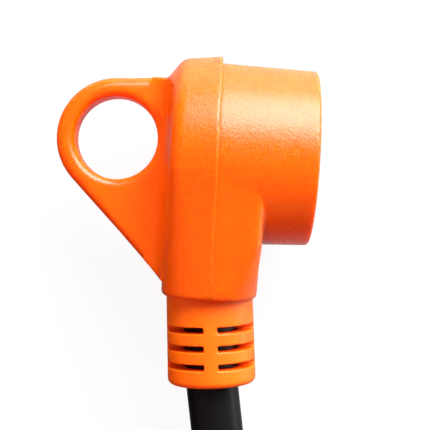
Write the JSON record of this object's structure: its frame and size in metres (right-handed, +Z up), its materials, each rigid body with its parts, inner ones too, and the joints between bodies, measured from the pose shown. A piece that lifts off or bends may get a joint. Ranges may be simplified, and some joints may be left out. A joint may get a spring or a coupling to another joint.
{
  "type": "shore power cord",
  "caption": "Heavy flexible power cord, coiled, with a right-angle socket head and a matching blade plug, each with a moulded finger ring.",
  "frame": {"origin": "centre of the socket head's footprint, on the surface that it lies on", "axes": "+X out of the socket's face, +Y away from its cord, +Z up; the head lies on its side"},
  "size_m": [0.342, 0.5155, 0.1001],
  "materials": {
    "shell_orange": "satin injection-moulded thermoplastic with a fine spark texture",
    "boot_orange": "smooth flexible vinyl moulding",
    "insert_black": "matt moulded thermoset",
    "jacket_black": "matt extruded thermoplastic elastomer jacket",
    "brass": "bright pressed brass",
    "nickel": "nickel-plated pressed brass",
    "screw_steel": "zinc-plated steel",
    "wire_black": "extruded insulation",
    "wire_white": "extruded insulation",
    "wire_green": "extruded insulation",
    "strap_black": "woven hook-and-loop strap"
  },
  "bodies": {
    "root": {"rear_cover": "shell_orange", "front_housing": "shell_orange", "socket_insert": "insert_black", "contact_retainer": "insert_black", "retainer_screws": "screw_steel", "line_contact": "brass", "neutral_contact": "nickel", "earth_contact": "brass", "terminal_screws": "screw_steel", "line_wire": "wire_black", "neutral_wire": "wire_white", "earth_wire": "wire_green", "cord_end": "jacket_black", "cord_clamp": "insert_black", "clamp_screws": "screw_steel", "cover_screws": "screw_steel", "screw_caps": "shell_orange", "strain_relief": "boot_orange", "cord_lead": "jacket_black", "cord_coil": "jacket_black", "cord_tail": "jacket_black", "coil_ties": "strap_black", "plug_rear_cover": "shell_orange", "plug_front_housing": "shell_orange", "plug_insert": "insert_black", "plug_retainer": "insert_black", "plug_retainer_screws": "screw_steel", "line_blade": "brass", "neutral_blade": "nickel", "earth_pin": "brass", "plug_terminal_screws": "screw_steel", "plug_line_wire": "wire_black", "plug_neutral_wire": "wire_white", "plug_earth_wire": "wire_green", "plug_cord_end": "jacket_black", "plug_cord_clamp": "insert_black", "plug_clamp_screws": "screw_steel", "plug_cover_screws": "screw_steel", "plug_screw_caps": "shell_orange", "plug_strain_relief": "boot_orange"}
  },
  "joints": []
}
